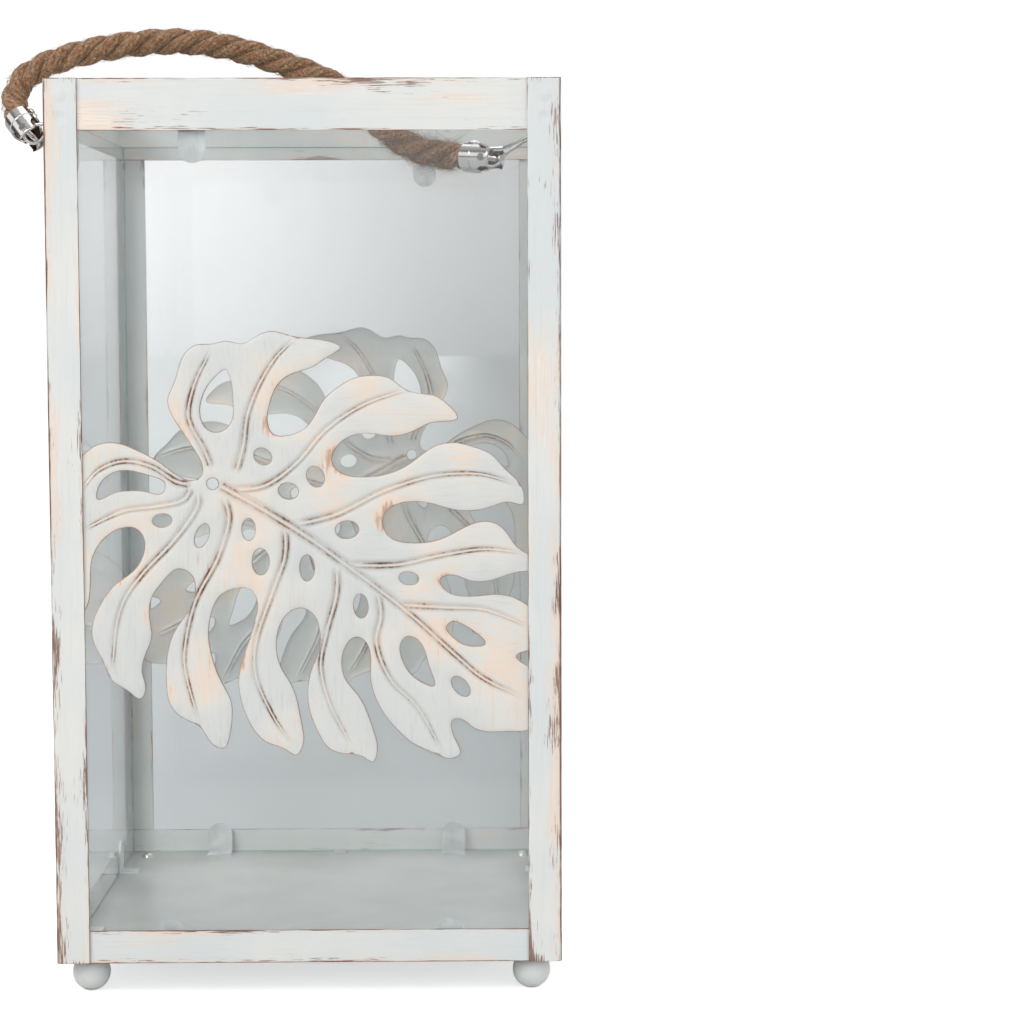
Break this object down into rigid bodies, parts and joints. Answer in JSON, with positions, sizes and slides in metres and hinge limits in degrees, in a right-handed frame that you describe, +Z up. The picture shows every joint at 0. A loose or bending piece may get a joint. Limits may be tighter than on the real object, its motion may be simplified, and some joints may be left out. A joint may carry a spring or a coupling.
{
  "type": "hurricane candle lantern",
  "caption": "Square whitewashed metal hurricane lantern with glass sides, pressed split-leaf panels, ball feet and a swinging jute rope handle.",
  "frame": {"origin": "ground plane under the centre of the square body", "axes": "+Z up; -Y is the front face with the leaf whose stalk hole is at the left; +X to the right seen from the front; the handle lies toward -X"},
  "size_m": [0.2367, 0.2, 0.3924],
  "materials": {
    "whitewashed_steel": "matte, brushed over copper",
    "clear_glass": "polished",
    "grey_pan": "satin",
    "screw_steel": "satin",
    "chrome_hardware": "polished",
    "jute": "rough twisted fibre"
  },
  "bodies": {
    "lantern": {"back_base_rail": "whitewashed_steel", "back_glass": "clear_glass", "back_glass_tabs": "whitewashed_steel", "back_leaf": "whitewashed_steel", "back_left_foot": "whitewashed_steel", "back_left_post": "whitewashed_steel", "back_right_foot": "whitewashed_steel", "back_right_post": "whitewashed_steel", "back_top_rail": "whitewashed_steel", "base_pan": "grey_pan", "foot_screws": "screw_steel", "front_base_rail": "whitewashed_steel", "front_glass": "clear_glass", "front_glass_tabs": "whitewashed_steel", "front_leaf": "whitewashed_steel", "front_left_foot": "whitewashed_steel", "front_left_post": "whitewashed_steel", "front_right_foot": "whitewashed_steel", "front_right_post": "whitewashed_steel", "front_top_rail": "whitewashed_steel", "left_base_rail": "whitewashed_steel", "left_glass": "clear_glass", "left_glass_tabs": "whitewashed_steel", "left_top_rail": "whitewashed_steel", "right_base_rail": "whitewashed_steel", "right_glass": "clear_glass", "right_glass_tabs": "whitewashed_steel", "right_top_rail": "whitewashed_steel"},
    "left_bail": {"left_bail": "chrome_hardware", "left_pivot_wire": "chrome_hardware"},
    "right_bail": {"right_bail": "chrome_hardware", "right_pivot_wire": "chrome_hardware"},
    "handle": {"rope": "jute", "left_ferrule": "chrome_hardware", "left_ferrule_pin": "chrome_hardware", "left_ferrule_rivet": "chrome_hardware", "right_ferrule": "chrome_hardware", "right_ferrule_pin": "chrome_hardware", "right_ferrule_rivet": "chrome_hardware"}
  },
  "joints": [
    {"name": "left_bail_swing", "type": "hinge", "parent": "lantern", "child": "left_bail", "pos_m": [-0.0973, 0, 0.358], "axis": [0, 1, 0], "range_deg": [0, 100]},
    {"name": "right_bail_swing", "type": "hinge", "parent": "lantern", "child": "right_bail", "pos_m": [0.0973, 0, 0.3478], "axis": [0, 1, 0], "range_deg": [0, 100]},
    {"name": "handle_pivot", "type": "hinge", "parent": "left_bail", "child": "handle", "pos_m": [-0.1218, 0, 0.345], "axis": [0, 1, 0], "range_deg": [-100, 0]}
  ],
  "couplings": [
    {"joint": "right_bail_swing", "follows": "left_bail_swing", "ratio": 1},
    {"joint": "handle_pivot", "follows": "left_bail_swing", "ratio": -1}
  ]
}
